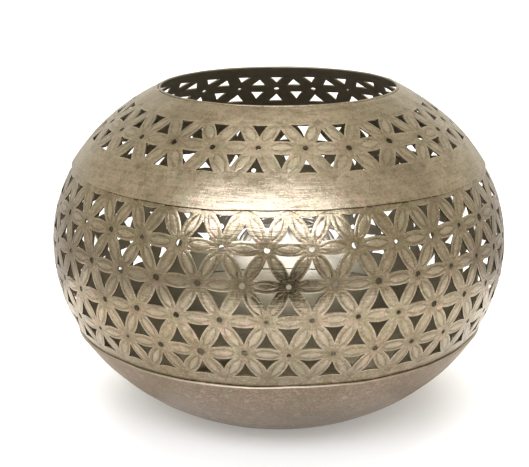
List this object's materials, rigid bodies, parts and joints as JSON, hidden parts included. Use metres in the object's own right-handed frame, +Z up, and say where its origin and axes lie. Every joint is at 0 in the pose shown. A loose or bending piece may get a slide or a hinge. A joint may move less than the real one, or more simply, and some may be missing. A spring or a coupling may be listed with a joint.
{
  "type": "tealight holder",
  "caption": "Squat round pierced-metal bowl for a tealight, with a wide open mouth, a flower lattice band and a plain base dish.",
  "frame": {"origin": "middle of the flat underside, on the surface the bowl stands on", "axes": "+Z up through the mouth, along the bowl's axis; -Y is the front"},
  "size_m": [0.21, 0.21, 0.1496],
  "materials": {
    "shoulder_brass": "aged satin, fine horizontal spinning lines",
    "band_brass": "aged satin, embossed petals, dark in the recesses",
    "base_brass": "aged satin, greyer patina",
    "solder": "dull dark solder"
  },
  "bodies": {
    "root": {"upper_shell": "shoulder_brass", "pierced_band": "band_brass", "base_dish": "base_brass", "upper_solder_seam": "solder", "lower_solder_seam": "solder"}
  },
  "joints": []
}
